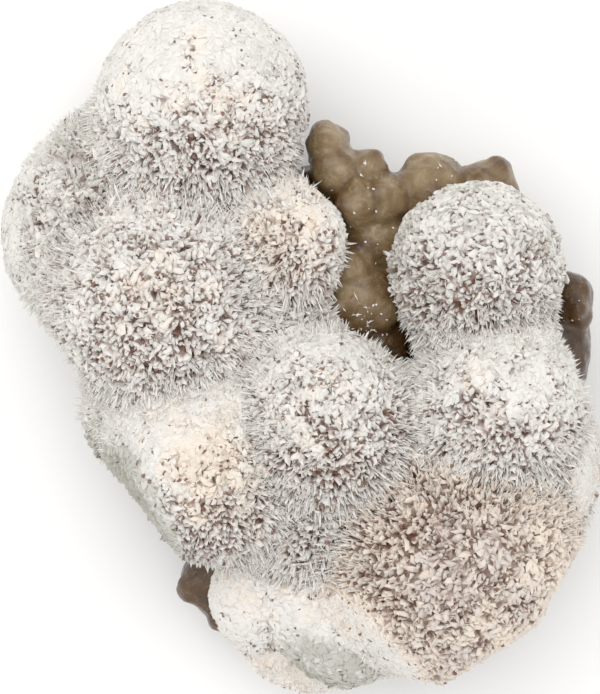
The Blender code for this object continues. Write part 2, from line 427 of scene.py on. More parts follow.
# The stilbite: the sizes of its clouds, flecks and lines, how much painted shade darkens it in
# hollows, how milky its flecks are, and its roughness where it is dull and where it is glossy.
CLOUD_SIZE = 5.0
FLECK_SIZE = 1.2
LINE_SPACING = 0.9
HOLLOW_SHADE = 0.45
MILKINESS = 0.3
DULL_ROUGHNESS = 0.42
GLOSSY_ROUGHNESS = 0.2

# Each rounded group has this many smaller ones on it, with sizes and distances from its
# middle that are shares of its own size.
LOBES = 9
LOBE_SIZES = (0.42, 0.60)
LOBE_PLACES = (0.55, 0.68)
# The crust's skin is smoothed this often, and then this share of its faces is kept.
ROUNDINGS = 3
KEPT_FACES = 0.45
# The skin's swells, and those of its broken back, which ends between two heights. The swells
# grow from nothing, where the crust rests, to all they are at the flat height.
SKIN_SWELLS = [Swells(3.6, 31.0, 0.40), Swells(1.3, 37.0, 0.14)]
BROKEN_SWELLS = [Swells(0.9, 41.0, 0.35)]
BROKEN_EDGE = (4.0, 9.0)
FLAT_HEIGHT = 0.6
# Painted shade darkens the crust in its hollows, growing between these distances from its
# groups, and low down, where it is whole under the first height and gone over the second.
HOLLOW_SHADE_EDGE = (0.0, 1.5)
LOW_SHADE_EDGE = (14.0, 28.0)
# Skin this near to a group, as a share of the group's size, has its painted shade.
SHADE_REACH = 0.2
# Where each part's random draws start.
FIRST_BALL_SEED = 100
LOBE_SEED = 60
LITTER_SEED = 70


def linear(hex_colour):
    """An sRGB colour such as "#f3e3cd", as the linear RGBA that shaders take."""
    channels = [int(hex_colour[i : i + 2], 16) / 255 for i in (1, 3, 5)]
    return (
        *(c / 12.92 if c <= 0.04045 else ((c + 0.055) / 1.055) ** 2.4 for c in channels),
        1.0,
    )


class SPECIMEN_PG_mordenite(bpy.types.PropertyGroup):
    """Sizes and colours of the mordenite."""

    tuft_spacing: FloatProperty(
        name="Tuft spacing", description="From one tuft's middle to the next, in mm",
        default=0.88, min=0.5, max=3.0,
    )
    tuft_length: FloatProperty(
        name="Tuft length", description="From a tuft's top to its buried root, in mm",
        default=2.6, min=0.5, max=6.0,
    )
    needle_width: FloatProperty(
        name="Needle width", description="Across the widest part of a long needle, in mm",
        default=0.36, min=0.05, max=1.0,
    )
    white: FloatVectorProperty(
        name="White", description="Colour of clean white needles", subtype="COLOR",
        default=linear("#e4e1dc")[:3], min=0.0, max=1.0,
    )


class SPECIMEN_PG_stilbite(bpy.types.PropertyGroup):
    """Sizes and colours of the stilbite."""

    cell: FloatProperty(
        name="Cell", description="Size of the cells that its surface is made from, in mm",
        default=0.55, min=0.3, max=2.0,
    )
    clear: FloatVectorProperty(
        name="Clear", description="Colour of the clearest crystal", subtype="COLOR",
        default=linear("#9f8b6a")[:3], min=0.0, max=1.0,
    )


class SPECIMEN_PG_stage(bpy.types.PropertyGroup):
    """The camera, the lights and the floor."""

    camera_height: FloatProperty(
        name="Camera height", description="Of the camera over the crust's back",
        default=0.4788, unit="LENGTH",
    )
    key_power: FloatProperty(name="Key light", description="In watts", default=2.3)
    fill: FloatProperty(name="Fill", description="Strength of the room's light", default=0.92)


def add_node(tree, kind, inputs=None, **settings):
    """Adds a shader node. inputs maps socket names or numbers to values or output sockets."""
    node = tree.nodes.new(kind)
    for name, value in settings.items():
        setattr(node, name, value)
    for name, value in (inputs or {}).items():
        if isinstance(value, bpy.types.NodeSocket):
            tree.links.new(value, node.inputs[name])
        else:
            node.inputs[name].default_value = value
    return node


def calculate(tree, operation, *values):
    """The result of one sum."""
    node = add_node(tree, "ShaderNodeMath", dict(enumerate(values)), operation=operation)
    return node.outputs["Value"]


def rescale(tree, value, low, high, to_low=0.0, to_high=1.0, kind="LINEAR"):
    """value, taken from the range from low to high to the one from to_low to to_high."""
    inputs = {
        "Value": value, "From Min": low, "From Max": high, "To Min": to_low, "To Max": to_high
    }
    return add_node(tree, "ShaderNodeMapRange", inputs, interpolation_type=kind).outputs["Result"]


def mix_colours(tree, factor, first, second):
    inputs = {"Factor": factor, "A": first, "B": second}
    return add_node(tree, "ShaderNodeMix", inputs, data_type="RGBA").outputs["Result"]


def clouds_at(tree, place, size, detail, roughness, distortion=0.0):
    """Cloudy noise from 0 to 1, with clouds of about size in mm."""
    inputs = {
        "Vector": place, "Scale": 1 / (size * MM), "Detail": detail, "Roughness": roughness,
        "Distortion": distortion,
    }
    return add_node(tree, "ShaderNodeTexNoise", inputs).outputs["Fac"]


def colour_ramp(tree, value, stops):
    """The colour at value. Each stop is a place and an sRGB hex colour or a linear one."""
    node = add_node(tree, "ShaderNodeValToRGB", {"Fac": value})
    ramp = node.color_ramp
    while len(ramp.elements) < len(stops):
        ramp.elements.new(0.5)
    for element, (place, colour) in zip(ramp.elements, stops):
        element.position = place
        element.color = linear(colour) if isinstance(colour, str) else (*colour, 1.0)
    return node.outputs["Color"]


def painted_state(tree, name):
    """The three values that a piece has painted on it under this name."""
    state = add_node(tree, "ShaderNodeAttribute", attribute_name=name)
    split = add_node(tree, "ShaderNodeSeparateColor", {"Color": state.outputs["Color"]})
    return [split.outputs[channel] for channel in ("Red", "Green", "Blue")]


def raise_bumps(tree, shader, height, strength, distance):
    """Lets height bump the surface, by distance in mm."""
    inputs = {"Height": height, "Strength": strength, "Distance": distance * MM}
    bump = add_node(tree, "ShaderNodeBump", inputs)
    tree.links.new(bump.outputs["Normal"], shader.inputs["Normal"])


def new_material(name, **values):
    """A material with one Principled shader, whose sockets have the given values."""
    material = bpy.data.materials.new(name)
    material.use_nodes = True
    shader = material.node_tree.nodes["Principled BSDF"]
    for socket, value in values.items():
        shader.inputs[socket.replace("_", " ")].default_value = value
    return material, material.node_tree, shader


def clean_colours(settings):
    """The colours of unstained needles by tint: grey, greyish, white, cream and pink. The grey end
    also gives the grey painted shade on the sides of balls that are turned from the light.
    """
    grey, greyish, cream, pink = "#b9b7ad", "#d9d7d1", "#e8dbcb", "#ccc4bf"
    return [(0.0, grey), (0.16, greyish), (0.35, settings.white), (0.6, cream), (1.0, pink)]


def needle_material(settings):
    """Silky white needle tufts, as they grew, which look like snow with brown shade in it.

    Each needle goes from a pale tip, free of stain and shade, to a brown base, which is partly
    stain and partly painted shade, darker the deeper it lies among the tufts. The tufts go from
    grey white over cream to pink. The piece's own map holds both: up the map is along the
    needle, and across it is the tuft's tint.
    """
    material, tree, shader = new_material("mordenite_needles", Roughness=0.6, IOR=1.47)
    place = add_node(tree, "ShaderNodeUVMap", uv_map=BAKE_MAP).outputs["UV"]
    split = add_node(tree, "ShaderNodeSeparateXYZ", {"Vector": place})
    tint, along = split.outputs["X"], split.outputs["Y"]
    pale = colour_ramp(tree, tint, clean_colours(settings))
    # The brown of the roots: stain, and painted shade that deepens down among the tufts.
    brown = colour_ramp(tree, tint, [(0.0, "#765b4d"), (0.5, "#754f41"), (1.0, "#745343")])
    clean = rescale(tree, along, 0.0, CLEAN_LIT_FROM, kind="SMOOTHSTEP")
    tree.links.new(mix_colours(tree, clean, brown, pale), shader.inputs["Base Color"])
    return material


def felt_material(settings):
    """Felted mordenite under the tufts, as it grew, which looks like packed snow.

    Where the tufts stand loose it is brown, partly stain and partly painted shade of the deep gaps
    between them. Its small pits and the holes of missing tufts are painted dark brown, stain and
    painted shade together. The real grain is finer than can be seen from here, so it is drawn
    coarser.
    """
    material, tree, shader = new_material("mordenite_felt", Roughness=0.75, IOR=1.47)
    place = add_node(tree, "ShaderNodeTexCoord").outputs["Object"]
    stain_and_shade, tint, sunken = painted_state(tree, FELT_STATE)
    grain = clouds_at(tree, place, GRAIN_SIZE, 3.0, 0.65)
    grained = calculate(tree, "MULTIPLY_ADD", grain, GRAIN_TINT, tint)
    tinted = calculate(tree, "SUBTRACT", grained, GRAIN_TINT / 2)
    pale = colour_ramp(tree, tinted, clean_colours(settings))

    cells = add_node(
        tree, "ShaderNodeTexVoronoi", {"Vector": place, "Scale": 1 / (PIT_SPACING * MM)}
    )
    number = add_node(tree, "ShaderNodeSeparateColor", {"Color": cells.outputs["Color"]})
    chance = calculate(tree, "MULTIPLY_ADD", stain_and_shade, LOOSE_PITS, PACKED_PITS)
    chosen = calculate(tree, "LESS_THAN", number.outputs["Red"], chance)
    middle = rescale(tree, cells.outputs["Distance"], *PIT_EDGE)
    pit = calculate(tree, "MAXIMUM", calculate(tree, "MULTIPLY", middle, chosen), sunken)

    # Painted shade with stain: brown where tufts stand loose, darker brown in pits and holes.
    patchy = calculate(tree, "MULTIPLY_ADD", grain, GRAIN_STAIN_SHADE, stain_and_shade)
    colour = mix_colours(tree, rescale(tree, patchy, *STAIN_SHADE_EDGE), pale, linear("#875f4e"))
    colour = mix_colours(tree, pit, colour, linear("#6a4233"))
    tree.links.new(colour, shader.inputs["Base Color"])
    fine = clouds_at(tree, place, FINE_GRAIN_SIZE, 3.0, 0.7)
    raise_bumps(tree, shader, calculate(tree, "MULTIPLY_ADD", pit, -PIT_DEPTH, fine), 0.8, 0.6)
    return material


def stilbite_material(settings):
    """Waxy honey-brown crystal, as it grew, which looks like clouded brown glass.

    It is greyer on the round ends and browner in cloudy patches, where the crystal is deeper.
    Painted shade makes it dark brown in the hollows between its groups, low down and on the
    groups that are given shade. Its skin has the fine lines of its sheaves, drawn coarser than
    they are.
    """
    material, tree, shader = new_material(
        "stilbite_crystal", Roughness=0.32, IOR=1.5, Specular_IOR_Level=0.35,
        Subsurface_Weight=0.3,
        Subsurface_Radius=(0.005, 0.0035, 0.0022), Subsurface_Scale=0.8,
        Coat_Weight=0.15, Coat_Roughness=0.12,
    )
    place = add_node(tree, "ShaderNodeTexCoord").outputs["Object"]
    painted_hollow_shade = painted_state(tree, CRUST_STATE)[0]
    clouds = clouds_at(tree, place, CLOUD_SIZE, 5.0, 0.62, 0.6)
    # Painted shade: the hollows, the low parts and the shaded groups darken the cloudy brown.
    depth = calculate(tree, "MULTIPLY_ADD", painted_hollow_shade, -HOLLOW_SHADE, clouds)
    darkest_brown, brown, honey = "#38220f", "#583f24", "#7b6545"
    stops = [(0.0, darkest_brown), (0.28, brown), (0.5, honey), (0.7, settings.clear)]
    flecks = clouds_at(tree, place, FLECK_SIZE, 4.0, 0.7)
    milky = rescale(tree, flecks, 0.55, 0.85, to_high=MILKINESS)
    colour = mix_colours(tree, milky, colour_ramp(tree, depth, stops), linear("#cfc3ae"))
    tree.links.new(colour, shader.inputs["Base Color"])
    roughness = rescale(tree, flecks, 0.3, 0.7, DULL_ROUGHNESS, GLOSSY_ROUGHNESS)
    tree.links.new(roughness, shader.inputs["Roughness"])
    upright = add_node(tree, "ShaderNodeMapping", {"Vector": place, "Scale": (1.0, 1.0, 0.3)})
    lines = clouds_at(tree, upright.outputs["Vector"], LINE_SPACING, 4.0, 0.65)
    raise_bumps(tree, shader, lines, 0.5, 0.5)
    return material


def swells_at(layers, points):
    """The sum of several layers of swells at each point."""
    total = 0.0
    for layer in layers:
        places = points / layer.size + layer.seed
        total = total + layer.height * np.array([noise.noise(Vector(place)) for place in places])
    return total


def spread_directions(count, rng, jitter):
    """Directions spread evenly over a sphere, each moved at random by jitter of their spacing."""
    number = np.arange(count) + 0.5
    height = 1 - 2 * number / count
    turn = number * math.pi * (3 - math.sqrt(5))
    flat = np.sqrt(1 - height**2)
    ways = np.stack([flat * np.cos(turn), flat * np.sin(turn), height], 1)
    spacing = math.sqrt(4 * math.pi / count)
    ways += rng.normal(0, jitter * spacing, ways.shape)
    return ways / np.linalg.norm(ways, axis=1, keepdims=True)


def unit(vectors):
    return vectors / np.maximum(np.linalg.norm(vectors, axis=-1, keepdims=True), 1e-9)


def blend_values(low, high, share):
    return low + (high - low) * share


def rising(values, start, end):
    """0 up to start and 1 from end on, with an even slope between them."""
    return np.clip((values - start) / (end - start), 0, 1)


class Face(NamedTuple):
    """What is known of a growth's face in each of many directions.

    reach is how far out the growth ends, buried how deep that is under the face that all the
    growths have together, stretch how far apart evenly spread needles are there, beside how
    close another ball is, from 0 to 1, worn how far the tufts are worn off and loose how
    loosely they stand.
    """

    reach: np.ndarray
    buried: np.ndarray
    stretch: np.ndarray
    beside: np.ndarray
    worn: np.ndarray
    loose: np.ndarray


class Limit(NamedTuple):
    """A growth as the others meet it: its ball, its middle and what it is cut off by."""

    ball: str
    centre: np.ndarray
    radius: float
    flats: list

    def clear_of(self, points):
        """How far points are outside, or inside where the number is negative."""
        away = points - self.centre
        clear = np.linalg.norm(away, axis=1) - self.radius
        for flat in self.flats:
            clear = np.maximum(clear, away @ unit(np.array(flat.facing)) - flat.distance)
        return clear


def all_limits():
    limits = []
    for name, ball in BALLS.items():
        for growth in ball.growths:
            flats = ball.flats if growth is ball.growths[0] else []
            limits.append(
                Limit(name, np.array(growth.centre) + MODEL_SHIFT, growth.radius, flats)
            )
    return limits


class Envelope:
    """One growth, and how far out its tips end in any direction.

    All the growths have one face together, whose grooves are softly filled with needles. A
    growth has the part of it that is nearest to it.
    """

    def __init__(self, limits, number):
        self.limits = [limits[number]] + limits[:number] + limits[number + 1 :]
        self.owner = limits[number].ball
        self.centre = limits[number].centre
        self.radius = limits[number].radius
        self.ball = BALLS[self.owner]

    def heights(self, points):
        """How far points are outside the joint face and outside each growth.

        Also gives how much each growth has to do with the face there.
        """
        clear = np.array([limit.clear_of(points) for limit in self.limits])
        filled = rising(points[:, 2], FILL_FROM, FILL_TO)
        softness = blend_values(UNDER_SOFTNESS, GROOVE_SOFTNESS, filled)
        least = clear.min(0)
        share = np.exp(-(clear - least) / softness)
        return least - softness * np.log(share.sum(0)), clear, share / share.sum(0)

    def solve(self, ways, depth, overlap):
        """How far out this growth ends, depth under the joint face, and what is known there.

        overlap is how far it may pass into its neighbours.
        """
        reach = np.full(len(ways), START_SHARE * self.radius)
        for _ in range(STEPS):
            height, clear, share = self.heights(self.centre + ways * reach[:, None])
            beyond = (clear[0] - clear[1:].min(0)) / 2 - overlap
            outside = np.maximum(height + depth, beyond)
            reach = np.maximum(reach - STEP_SHARE * outside, LEAST_REACH)
        return reach, height, clear, share

    def swell(self, points, height):
        """The slow swells of the joint face, which fade under it."""
        return swells_at(LUMPS, points) * rising(height, -1, 0)

    def face(self, ways):
        reach, height, clear, share = self.solve(ways, 0.0, 0.0)
        tips = self.centre + ways * reach[:, None]
        outwards = sum(
            part[:, None] * unit(tips - limit.centre)
            for part, limit in zip(share, self.limits)
        )
        facing = np.clip((unit(outwards) * ways).sum(1), LEAST_FACING, 1)
        stretch = (reach / self.radius) ** 2 / facing
        others = [limit.ball != self.owner for limit in self.limits]
        beside = np.clip(1 - (clear[others].min(0) - clear[0]) / (2 * SEAM_REACH), 0, 1)
        rubbed = self.ball.worn * (1 - rising(beside, *UNRUBBED))
        rubbed = np.maximum(rubbed, SMOOTH_WEAR * self.smoothed(tips))
        cut_off = clear[0] - (np.linalg.norm(tips - self.centre, axis=1) - self.radius)
        worn = np.maximum(rubbed, rising(cut_off, 0, BREAK_EDGE))
        loose = (
            self.ball.open_share
            + self.ball.open_gain * (ways @ unit(np.array(self.ball.open_side)))
            + swells_at(LOOSENESS, tips)
            + SEAM_LOOSENESS * beside
        )
        loose = np.clip(loose, 0, 1) * (1 - worn)
        reach = reach + self.swell(tips, height)
        return Face(reach, np.maximum(-height, 0), stretch, beside, worn, loose)

    def smoothed(self, points):
        """How far points are on the side where the ball is worn smooth, from 0 to 1."""
        towards = unit(points - self.centre) @ np.array(self.ball.smooth_side)
        return rising(towards, *SMOOTH_EDGE)

    def tint(self, points):
        """The tint of needles at each point: slow patches, the ball's own apex, its smooth side
        and grey painted shade on its grey side, which is turned away from the light.
        """
        first = self.ball.growths[0]
        offset = points - (np.array(first.centre) + MODEL_SHIFT)
        near = np.exp(-((offset[:, :2] / (APEX_SHARE * first.radius)) ** 2).sum(1))
        # Grey painted shade on the side that is turned away from the light.
        grey_shaded = rising(unit(offset) @ np.array(self.ball.grey_shade_side), *GREY_SHADE_EDGE)
        whole = blend_values(self.ball.tint, self.ball.apex_tint, near)
        smooth = blend_values(whole, SMOOTH_TINT, self.smoothed(points))
        return smooth - GREY_SHADING * grey_shaded + swells_at(TINTS, points)


def tuft_domes(top, way, radius, drop, length, shades, tint, rng):
    """Tufts of needles, each a ragged topped bundle that narrows to a buried point.

    shades are how pale a tuft is at its root, at its shoulder and at its top, where low values
    give it brown stain and painted shade. There are tens of thousands of tufts, so they are made
    as arrays and not by one operator call each.
    """
    count = len(top)
    drop, length, tint = (np.full(count, value) for value in (drop, length, tint))
    first = unit(np.cross(way, rng.normal(size=(count, 3))))
    second = np.cross(way, first)
    turn = np.arange(SIDES) * 2 * math.pi / SIDES + rng.normal(0, CORNER_TURN, (count, SIDES))
    out = radius[:, None] * rng.uniform(*CORNER_REACH, (count, SIDES))
    longer = rng.uniform(*TUFT_STRETCH, (count, 1))
    east = out * np.cos(turn) * longer
    north = out * np.sin(turn) / longer**TUFT_SQUEEZE
    low = drop[:, None] * rng.uniform(*CORNER_DROP, (count, SIDES))
    low = low + rng.normal(0, TUFT_TILT, (count, 1)) * (drop / radius)[:, None] * east
    shoulder = (
        top[:, None]
        + east[..., None] * first[:, None]
        + north[..., None] * second[:, None]
        - low[..., None] * way[:, None]
    )
    root = top - way * length[:, None]
    corners = np.concatenate([root[:, None], shoulder, top[:, None]], 1)
    faces = []
    for place in range(SIDES):
        after = 1 + (place + 1) % SIDES
        faces += [(0, after, 1 + place), (1 + place, after, SIDES + 1)]
    faces = (np.arange(count) * (SIDES + 2))[:, None, None] + np.array(faces)
    across = np.array([0.0] + [-1.0, 0.3, 1.0] * (SIDES // 3) + [0.0])
    u = tint[:, None] + TINT_SPREAD * across
    base, middle, high = (np.full(count, shade)[:, None] for shade in shades)
    v = np.concatenate([base, middle.repeat(SIDES, 1), high], 1)
    v[:, 1:-1] += rng.normal(0, CORNER_SHADE, (count, SIDES))
    places = np.stack([u, v], -1)
    return corners.reshape(-1, 3), faces.reshape(-1, 3), places.reshape(-1, 2)


def pointed_needles(root, tip, width, waist, root_shade, tip_shade, tint, rng):
    """Three-sided needles with a point at both ends, widest at waist of their length.

    root_shade and tip_shade are how pale a needle is at its ends, where low values give it
    brown stain and painted shade.
    """
    count = len(root)
    root_shade, tip_shade, tint = (
        np.full(count, value) for value in (root_shade, tip_shade, tint)
    )
    axis = unit(tip - root)
    side = unit(np.cross(axis, rng.normal(size=(count, 3))))
    other = np.cross(axis, side)
    turn = np.arange(3) * 2 * math.pi / 3
    half = (width / 2)[:, None] * rng.uniform(*EDGE_REACH, (count, 3))
    middle = root + (tip - root) * waist[:, None]
    ring = (
        middle[:, None, :]
        + (half * np.cos(turn))[..., None] * side[:, None, :]
        + (half * np.sin(turn))[..., None] * other[:, None, :]
    )
    corners = np.concatenate([root[:, None, :], ring, tip[:, None, :]], 1)
    first = (np.arange(count) * corners.shape[1])[:, None, None]
    faces = first + np.array(
        [(0, 2, 1), (0, 3, 2), (0, 1, 3), (4, 1, 2), (4, 2, 3), (4, 3, 1)]
    )
    u = tint[:, None] + TINT_SPREAD * np.array((0.0, -1.0, 0.0, 1.0, 0.0))
    shade = root_shade + (tip_shade - root_shade) * waist
    v = np.stack([root_shade, shade, shade, shade, tip_shade], 1)
    places = np.stack([u, v], -1)
    return corners.reshape(-1, 3), faces.reshape(-1, 3), places.reshape(-1, 2)


def join_arrays(shapes):
    """Several (corners, faces, places) in one."""
    corners, faces, places = zip(*shapes)
    starts = np.cumsum([0] + [len(some) for some in corners[:-1]])
    faces = [some + start for some, start in zip(faces, starts)]
    return np.concatenate(corners), np.concatenate(faces), np.concatenate(places)


def link_piece(name, mesh):
    piece = bpy.data.objects.new(name, mesh)
    bpy.context.scene.collection.objects.link(piece)
    return piece


def new_piece(name, shape, material):
    """A mesh object from joined triangles, whose corners are in mm."""
    corners, faces, places = shape
    mesh = bpy.data.meshes.new(name)
    mesh.vertices.add(len(corners))
    mesh.vertices.foreach_set("co", (corners * MM).astype(np.float32).ravel())
    mesh.loops.add(faces.size)
    mesh.loops.foreach_set("vertex_index", faces.astype(np.int32).ravel())
    mesh.polygons.add(len(faces))
    mesh.polygons.foreach_set("loop_start", np.arange(0, faces.size, 3, dtype=np.int32))
    mesh.update(calc_edges=True)
    layer = mesh.uv_layers.new(name=BAKE_MAP)
    on_map = places.clip(MAP_MARGIN, 1 - MAP_MARGIN)[faces]
    layer.uv.foreach_set("vector", on_map.astype(np.float32).ravel())
    mesh.shade_flat()
    mesh.materials.append(material)
    return link_piece(name, mesh)


def paint_state(mesh, name, values):
    """Paints up to three values from 0 to 1 on each corner of a mesh."""
    state = np.ones((len(mesh.vertices), 4), np.float32)
    state[:, : values.shape[1]] = np.clip(values, 0, 1)
    layer = mesh.color_attributes.new(name, "FLOAT_COLOR", "POINT")
    layer.data.foreach_set("color", state.ravel())


def nearness(points, pits):
    """How near points are to a pit, from 1 in its middle to 0 outside it."""
    tree = kdtree.KDTree(len(pits))
    for number, pit in enumerate(pits):
        tree.insert(pit, number)
    tree.balance()
    away = np.array([tree.find(point)[2] for point in points])
    return 1 - rising(away, *HOLE_SLOPE)


def felt_core(envelope, pits):
    """The felted inside of a growth, seen between its tufts: a lumpy ball, under the tips.

    It is finer where it shows. pits are the places of missing tufts, where it is sunken.
    """
    ball = bmesh.new()
    fineness = 4 if envelope.radius < SMALL_GROWTH else 5
    bmesh.ops.create_icosphere(ball, subdivisions=fineness, radius=1.0)
    ball.verts.index_update()
    ways = unit(np.array([vert.co for vert in ball.verts]))
    face = envelope.face(ways)
    tips = envelope.centre + ways * face.reach[:, None]
    shows = (face.buried < 1.0) & (tips[:, 2] > SHOWS_ABOVE)
    edges = [edge for edge in ball.edges if any(shows[vert.index] for vert in edge.verts)]
    bmesh.ops.subdivide_edges(ball, edges=edges, cuts=1, use_grid_fill=True)
    bmesh.ops.triangulate(ball, faces=ball.faces[:])
    ball.verts.index_update()
    ways = unit(np.array([vert.co for vert in ball.verts]))
    face = envelope.face(ways)
    tips = envelope.centre + ways * face.reach[:, None]
    depth = blend_values(*FELT_DEPTH, face.loose) + swells_at(FELT_LUMPS, tips)
    depth = blend_values(depth, WORN_DEPTH, face.worn)
    sunken = nearness(tips, pits) if len(pits) else np.zeros(len(ways))
    depth = depth + HOLE_DEPTH * sunken
    reach, height, _, _ = envelope.solve(ways, depth, FELT_OVERLAP)
    corners = envelope.centre + ways * reach[:, None]
    corners = corners + ways * envelope.swell(corners, height + depth)[:, None]
    for vert, place in zip(ball.verts, corners * MM):
        vert.co = place
    return ball, np.stack([face.loose, envelope.tint(corners), sunken], 1)


def new_felt(name, cores, material):
    """One object from the felt of a ball's growths."""
    whole = bmesh.new()
    for core, _ in cores:
        mesh = bpy.data.meshes.new("core")
        core.to_mesh(mesh)
        core.free()
        whole.from_mesh(mesh)
        bpy.data.meshes.remove(mesh)
    for face in whole.faces:
        face.smooth = True
    mesh = bpy.data.meshes.new(name)
    whole.to_mesh(mesh)
    whole.free()
    paint_state(mesh, FELT_STATE, np.concatenate([state for _, state in cores]))
    mesh.materials.append(material)
    return link_piece(name, mesh)


class Tufts(NamedTuple):
    """The tufts of a growth that are seen: which way each stands, and where and how.

    rise is how far its top is over the face. The last value is how pale its top is, from stained
    brown with painted shade at 0 to white at 1.
    """

    ways: np.ndarray
    tips: np.ndarray
    face: Face
    radius: np.ndarray
    rise: np.ndarray
    tint: np.ndarray
    clean: np.ndarray

    def asides(self, chosen, rng):
        """A direction along the face at each of the chosen tufts."""
        return unit(np.cross(self.ways[chosen], rng.normal(size=(len(chosen), 3))))


def place_tufts(envelope, settings, crust, rng):
    """The directions, tips and face of a growth's tufts, and the places of missing ones.

    Spare tufts fill up the face where it is stretched.
    """
    area = 4 * math.pi * envelope.radius**2
    count = int(area / (TUFT_PACKING * settings.tuft_spacing**2))
    spares = count + MORE_SPARES
    ways = np.concatenate([
        spread_directions(count, rng, TUFT_JITTER), spread_directions(spares, rng, SPARE_JITTER)
    ])
    spare = np.repeat((False, True), [count, spares])
    count = len(ways)
    face = envelope.face(ways)
    tips = envelope.centre + ways * face.reach[:, None]
    needed = ~spare | (rng.random(count) < face.stretch - SPARE_FROM)
    shown = (face.buried < TUFT_BURIED) & needed
    shown &= ~((tips[:, 2] < UNDER_SIDE) & (rng.random(count) < UNDER_THINNING))
    for number in np.flatnonzero(shown):
        start = Vector(tips[number] * MM)
        if crust.ray_cast(start, Vector(ways[number]), CRUST_NEAR * MM)[0] is not None:
            shown[number] = False
    missing = rng.random(count) < blend_values(*MISSING, face.loose) * (1 - face.worn)
    pits = tips[shown & missing]
    shown &= ~missing
    return ways[shown], tips[shown], Face(*(values[shown] for values in face)), pits


def stand_tufts(envelope, settings, ways, tips, face, rng):
    """Gives each tuft its own size and tint, and makes their domes."""
    count = len(ways)
    loose = face.loose
    radius = settings.tuft_spacing * blend_values(*TUFT_RADIUS, loose)
    radius = radius * rng.uniform(*TUFT_SIZES, count)
    rise = rng.normal(0, 1, count) * blend_values(*TUFT_RISE, loose) * (1 - face.worn)
    drop = blend_values(*TUFT_DROP, loose) * (1 - FLATTENED * face.worn)
    lean = blend_values(*TUFT_LEAN, loose)[:, None] * rng.normal(size=(count, 3))
    tint = envelope.tint(tips)
    clean = TOP_CLEAN_LIT + LESS_SHADE_BY_RISE * np.minimum(rise, RISE_LIMIT)
    clean = np.clip(clean + rng.normal(0, TOP_JITTER, count), LEAST_CLEAN_LIT, CLEANEST_LIT)
    tufts = Tufts(ways, tips, face, radius, rise, tint, clean)
    domes = tuft_domes(
        tips + ways * rise[:, None],
        unit(ways + lean),
        radius,
        drop * rng.uniform(*TUFT_DROPS, count),
        settings.tuft_length * rng.uniform(*TUFT_LENGTHS, count),
        # Paler at the top; the roots, and the shoulders of loose tufts, get stain and painted
        # shade.
        (blend_values(*ROOT_CLEAN_LIT, loose), clean * blend_values(*SHOULDER_CLEAN_LIT, loose), clean),
        tint + rng.normal(0, TINT_JITTER, count),
        rng,
    )
    return tufts, domes


def fringe_tufts(tufts, settings, rng):
    """Single needles that stand up from the edges of loose tufts."""
    chosen = np.flatnonzero(rng.random(len(tufts.tips)) < tufts.face.loose * FRINGE_SHARE)
    total = len(chosen)
    aside = tufts.asides(chosen, rng)
    outwards = rng.uniform(*FRINGE_PLACES, total) * tufts.radius[chosen]
    spot = tufts.tips[chosen] + aside * outwards[:, None]
    lean = unit(tufts.ways[chosen] + aside * rng.uniform(*FRINGE_LEANS, total)[:, None])
    above = tufts.rise[chosen] + rng.uniform(*FRINGE_TIPS, total)
    return pointed_needles(
        spot - lean * FRINGE_DEPTH,
        spot + lean * above[:, None],
        *FRINGE.draw(total, settings, rng),
        FRINGE.root_clean_lit,
        tufts.clean[chosen],
        tufts.tint[chosen] + rng.normal(0, TINT_JITTER, total),
        rng,
    )


def spray_seams(tufts, settings, rng):
    """Long clean needles that fill the seams with other balls."""
    beside = tufts.face.beside
    chosen = rng.random(len(beside)) < SPRAY_SHARE * beside
    chosen &= (beside > SPRAY_FROM) & (tufts.face.worn < SPRAY_WEAR)
    chosen = np.repeat(np.flatnonzero(chosen), SPRAY_NEEDLES)
    total = len(chosen)
    lean = unit(tufts.ways[chosen] + rng.normal(0, SPRAY_TURN, (total, 3)))
    spot = tufts.tips[chosen] + rng.normal(0, SPRAY_SPREAD, (total, 3))
    ahead = rng.uniform(*SPRAY_TIPS, total)
    back = rng.uniform(*SPRAY_DEPTHS, total)
    return pointed_needles(
        spot - lean * back[:, None],
        spot + lean * ahead[:, None],
        *SPRAY.draw(total, settings, rng),
        SPRAY.root_clean_lit,
        CLEANEST_LIT,
        blend_values(tufts.tint[chosen], SPRAY_TINT, SPRAY_TINT_SHARE),
        rng,
    )


def speck_tufts(tufts, rng):
    """Small dark brown bundles beside tufts, most of them where those are loose: stain and painted
    shade, for the dark pits between tufts.
    """
    chance = SPECK_SHARE + LOOSE_SPECKS * tufts.face.loose
    chosen = np.flatnonzero(rng.random(len(tufts.tips)) < chance)
    total = len(chosen)
    ways = tufts.ways[chosen]
    aside = tufts.asides(chosen, rng)
    return tuft_domes(
        tufts.tips[chosen] + ways * tufts.rise[chosen, None] + SPECK_ASIDE * aside,
        ways,
        rng.uniform(*SPECK_RADII, total),
        SPECK_DROP,
        SPECK_LENGTH,
        (SPECK_ROOT_CLEAN_LIT, rng.uniform(*SPECK_CLEAN_LIT, total), SPECK_TOP_CLEAN_LIT),
        tufts.tint[chosen],
        rng,
    )


def grow_tufts(envelope, settings, crust, rng):
    """All the needles of one growth, and the places of its missing tufts."""
    ways, tips, face, pits = place_tufts(envelope, settings, crust, rng)
    tufts, domes = stand_tufts(envelope, settings, ways, tips, face, rng)
    fringe = fringe_tufts(tufts, settings, rng)
    spray = spray_seams(tufts, settings, rng)
    return [domes, fringe, spray, speck_tufts(tufts, rng)], pits


